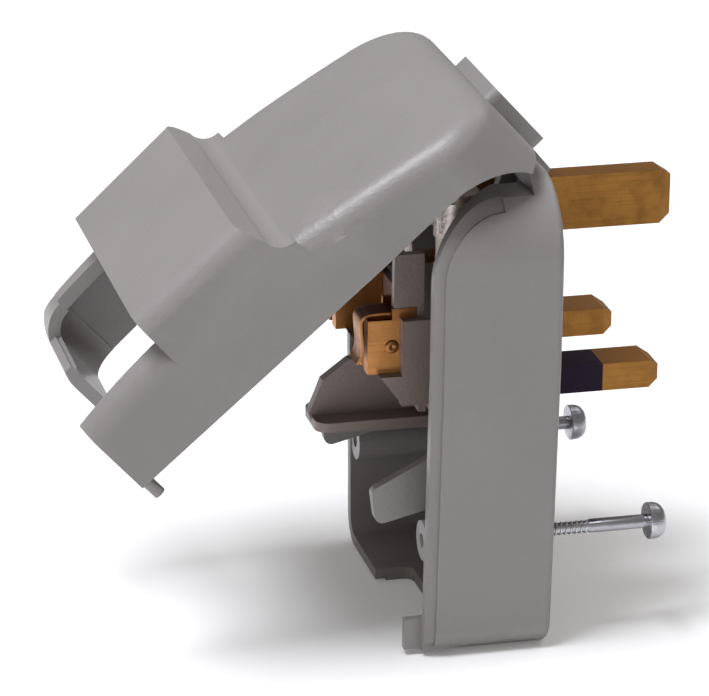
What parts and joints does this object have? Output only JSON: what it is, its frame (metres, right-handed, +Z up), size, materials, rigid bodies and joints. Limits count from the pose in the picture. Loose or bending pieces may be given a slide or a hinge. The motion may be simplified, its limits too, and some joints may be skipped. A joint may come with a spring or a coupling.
{
  "type": "plug adapter",
  "caption": "Plug adapter with three flat pins, a hinged lid standing open, round-pin contacts and a fuse inside, and two lid screws drawn out.",
  "frame": {"origin": "middle of the rear face, level with the centre line of the line and neutral pins", "axes": "+X along the pins, away from the housing; +Z up, from the line and neutral pins to the earth pin; +Y to the neutral pin's side"},
  "size_m": [0.0896, 0.0504, 0.0805],
  "materials": {
    "housing_plastic": "satin",
    "carrier_plastic": "satin",
    "pin_brass": "satin",
    "sleeve_plastic": "satin",
    "contact_copper": "satin",
    "fuse_ceramic": "gloss",
    "fuse_metal": "satin",
    "screw_zinc": "satin"
  },
  "bodies": {
    "base": {"base_shell": "housing_plastic", "contact_carrier": "carrier_plastic", "earth_pin": "pin_brass", "line_pin": "pin_brass", "neutral_pin": "pin_brass", "line_sleeve": "sleeve_plastic", "neutral_sleeve": "sleeve_plastic", "line_contact": "contact_copper", "neutral_contact": "contact_copper", "line_spring": "contact_copper", "neutral_spring": "contact_copper", "line_rivet": "contact_copper", "neutral_rivet": "contact_copper", "fuse_body": "fuse_ceramic", "fuse_cap_lower": "fuse_metal", "fuse_cap_upper": "fuse_metal", "fuse_clip_lower": "fuse_metal", "fuse_clip_upper": "fuse_metal", "line_link": "contact_copper", "neutral_link": "contact_copper"},
    "lid": {"lid_shell": "housing_plastic"},
    "screw_near": {"lid_screw_near": "screw_zinc"},
    "screw_far": {"lid_screw_far": "screw_zinc"}
  },
  "joints": [
    {"name": "lid_hinge", "type": "hinge", "parent": "base", "child": "lid", "pos_m": [-0.0036, 0, 0.0223], "axis": [0, 1, 0], "range_deg": [-47.6, 10]},
    {"name": "screw_near_slide", "type": "slide", "parent": "base", "child": "screw_near", "axis": [1, 0, 0], "range_m": [-0.018, 0]},
    {"name": "screw_far_slide", "type": "slide", "parent": "base", "child": "screw_far", "axis": [1, 0, 0], "range_m": [-0.018, 0]}
  ]
}
